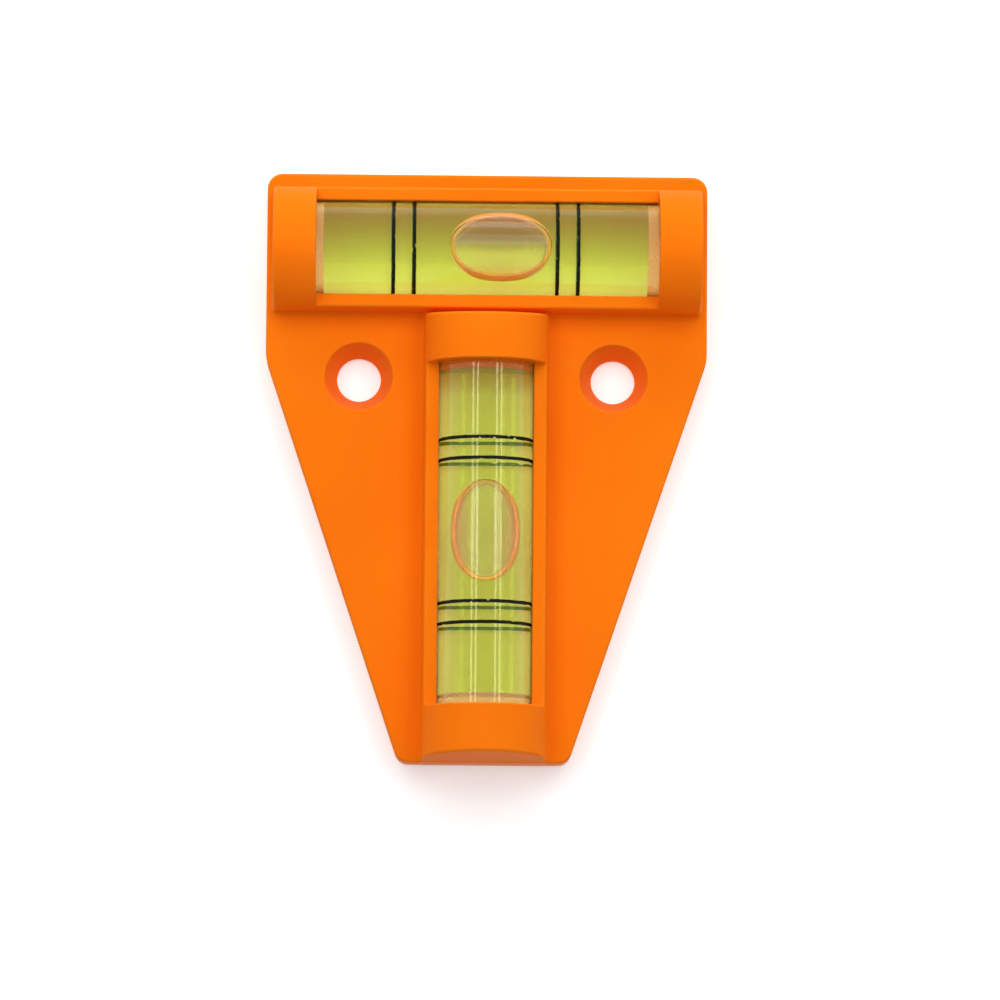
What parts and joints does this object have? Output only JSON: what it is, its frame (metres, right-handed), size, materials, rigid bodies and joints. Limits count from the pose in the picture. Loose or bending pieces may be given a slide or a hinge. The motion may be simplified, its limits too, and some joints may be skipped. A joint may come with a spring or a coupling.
{
  "type": "cross spirit level",
  "caption": "T-shaped plate carrying tubular bubble vials at right angles in half-round barrels, for checking level both ways, with tapered screw holes for fixing.",
  "frame": {"origin": "middle of the back face's outline, on the back face", "axes": "+Z out of the back face towards the vials, +Y along the long vial towards the head of the T, +X along the cross vial"},
  "size_m": [0.0522, 0.07, 0.0135],
  "materials": {
    "housing_plastic": "satin moulded orange",
    "clear_plastic": "clear polished",
    "plug_plastic": "translucent, moulded",
    "liquid": "clear lime liquid",
    "bubble": "clear air",
    "ink": "printed black",
    "glue": "cured, slightly cloudy"
  },
  "bodies": {
    "level": {"housing": "housing_plastic", "cross_tube": "clear_plastic", "cross_plug_left": "plug_plastic", "cross_plug_right": "plug_plastic", "cross_liquid": "liquid", "cross_line_1": "ink", "cross_line_2": "ink", "cross_line_3": "ink", "cross_line_4": "ink", "cross_glue_left": "glue", "cross_glue_right": "glue", "long_tube": "clear_plastic", "long_plug_foot": "plug_plastic", "long_plug_head": "plug_plastic", "long_liquid": "liquid", "long_line_1": "ink", "long_line_2": "ink", "long_line_3": "ink", "long_line_4": "ink", "long_glue_foot": "glue", "long_glue_head": "glue"},
    "cross_bubble": {"cross_bubble": "bubble"},
    "long_bubble": {"long_bubble": "bubble"}
  },
  "joints": [
    {"name": "cross_bubble_slide", "type": "slide", "parent": "level", "child": "cross_bubble", "axis": [1, 0, 0], "range_m": [-0.01466, 0.01114], "stiffness_N_per_m": 0.1, "springref_m": -0.00176, "deforming": ["cross_liquid"]},
    {"name": "long_bubble_slide", "type": "slide", "parent": "level", "child": "long_bubble", "axis": [0, 1, 0], "range_m": [-0.0129, 0.0129], "stiffness_N_per_m": 0.1, "deforming": ["long_liquid"]}
  ]
}
